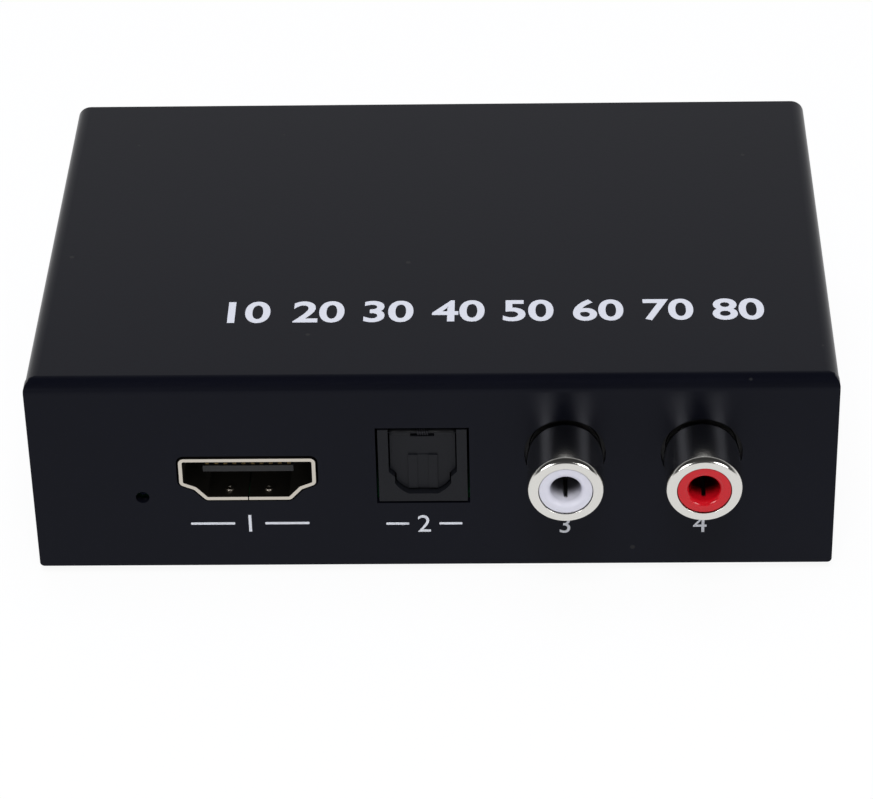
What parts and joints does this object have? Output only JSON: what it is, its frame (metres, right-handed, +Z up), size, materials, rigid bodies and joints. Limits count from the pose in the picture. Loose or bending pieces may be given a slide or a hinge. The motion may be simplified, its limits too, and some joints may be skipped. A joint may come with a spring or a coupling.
{
  "type": "audio extractor",
  "caption": "Small black steel box that takes sound out of a picture signal, with video sockets, an optical port, phono jacks, a power jack and a mode switch.",
  "frame": {"origin": "middle of the whole box, jacks and knob included, on the surface that the feet stand on", "axes": "+Z up, +X to the right of somebody who looks at the front face, -Y out of the front face with the phono jacks"},
  "size_m": [0.088, 0.069, 0.0257],
  "materials": {
    "black_coat": "fine matt powder coat",
    "black_steel": "black",
    "foot_rubber": "matt",
    "board_laminate": "green solder mask",
    "brass_standoff": "turned",
    "plated_steel": "zinc plated",
    "socket_shell": "nickel plated sheet",
    "black_moulding": "fine satin",
    "gold_contact": "gold flashed",
    "spring_steel": "drawn wire",
    "dark_resin": "dark clear resin",
    "tinned_lead": "tin plated",
    "nickel_barrel": "bright nickel",
    "pale_moulding": "satin",
    "red_moulding": "satin",
    "brown_moulding": "phenolic",
    "white_moulding": "matt",
    "clear_lens": "clear",
    "chip_resin": "moulded",
    "ferrite": "pressed powder",
    "can_aluminium": "drawn",
    "ceramic_tan": "ceramic"
  },
  "bodies": {
    "case": {"top_cover": "black_coat", "base_tray": "black_coat", "case_screws": "black_steel", "rubber_feet": "foot_rubber", "main_board": "board_laminate", "board_standoffs": "brass_standoff", "board_screws": "plated_steel", "video_out_shell": "socket_shell", "video_out_insulator": "black_moulding", "video_out_contacts": "gold_contact", "video_in_shell": "socket_shell", "video_in_insulator": "black_moulding", "video_in_contacts": "gold_contact", "optical_housing": "black_moulding", "optical_shutter_spring": "spring_steel", "optical_emitter": "dark_resin", "optical_leads": "tinned_lead", "phono_left_body": "black_moulding", "phono_left_barrel": "nickel_barrel", "phono_left_insert": "pale_moulding", "phono_left_contact": "tinned_lead", "phono_right_body": "black_moulding", "phono_right_barrel": "nickel_barrel", "phono_right_insert": "red_moulding", "phono_right_contact": "tinned_lead", "power_jack_body": "black_moulding", "power_jack_pin": "nickel_barrel", "power_jack_spring": "tinned_lead", "mode_switch_base": "brown_moulding", "mode_switch_frame": "plated_steel", "mode_switch_terminals": "tinned_lead", "status_led": "white_moulding", "status_led_lens": "clear_lens", "main_chip": "chip_resin", "main_chip_leads": "tinned_lead", "audio_chip": "chip_resin", "audio_chip_leads": "tinned_lead", "memory_chip": "chip_resin", "memory_chip_leads": "tinned_lead", "clock_crystal": "plated_steel", "regulators": "chip_resin", "regulator_tabs": "tinned_lead", "power_inductor": "ferrite", "filter_capacitors": "can_aluminium", "capacitor_bases": "black_moulding", "chip_capacitors": "ceramic_tan", "chip_resistors": "chip_resin", "protection_arrays": "chip_resin"},
    "shutter": {"optical_shutter": "black_moulding"},
    "switch_slider": {"mode_switch_slider": "black_moulding", "mode_switch_bridge": "gold_contact"}
  },
  "joints": [
    {"name": "optical_shutter_hinge", "type": "hinge", "parent": "case", "child": "shutter", "pos_m": [-0.00105, -0.0263, 0.01845], "axis": [1, 0, 0], "range_deg": [0, 80], "stiffness_Nm_per_rad": 0.00005, "springref_deg": -57.3, "deforming": ["optical_shutter_spring"]},
    {"name": "mode_switch_slide", "type": "slide", "parent": "case", "child": "switch_slider", "axis": [1, 0, 0], "range_m": [-0.002, 0.002]}
  ]
}
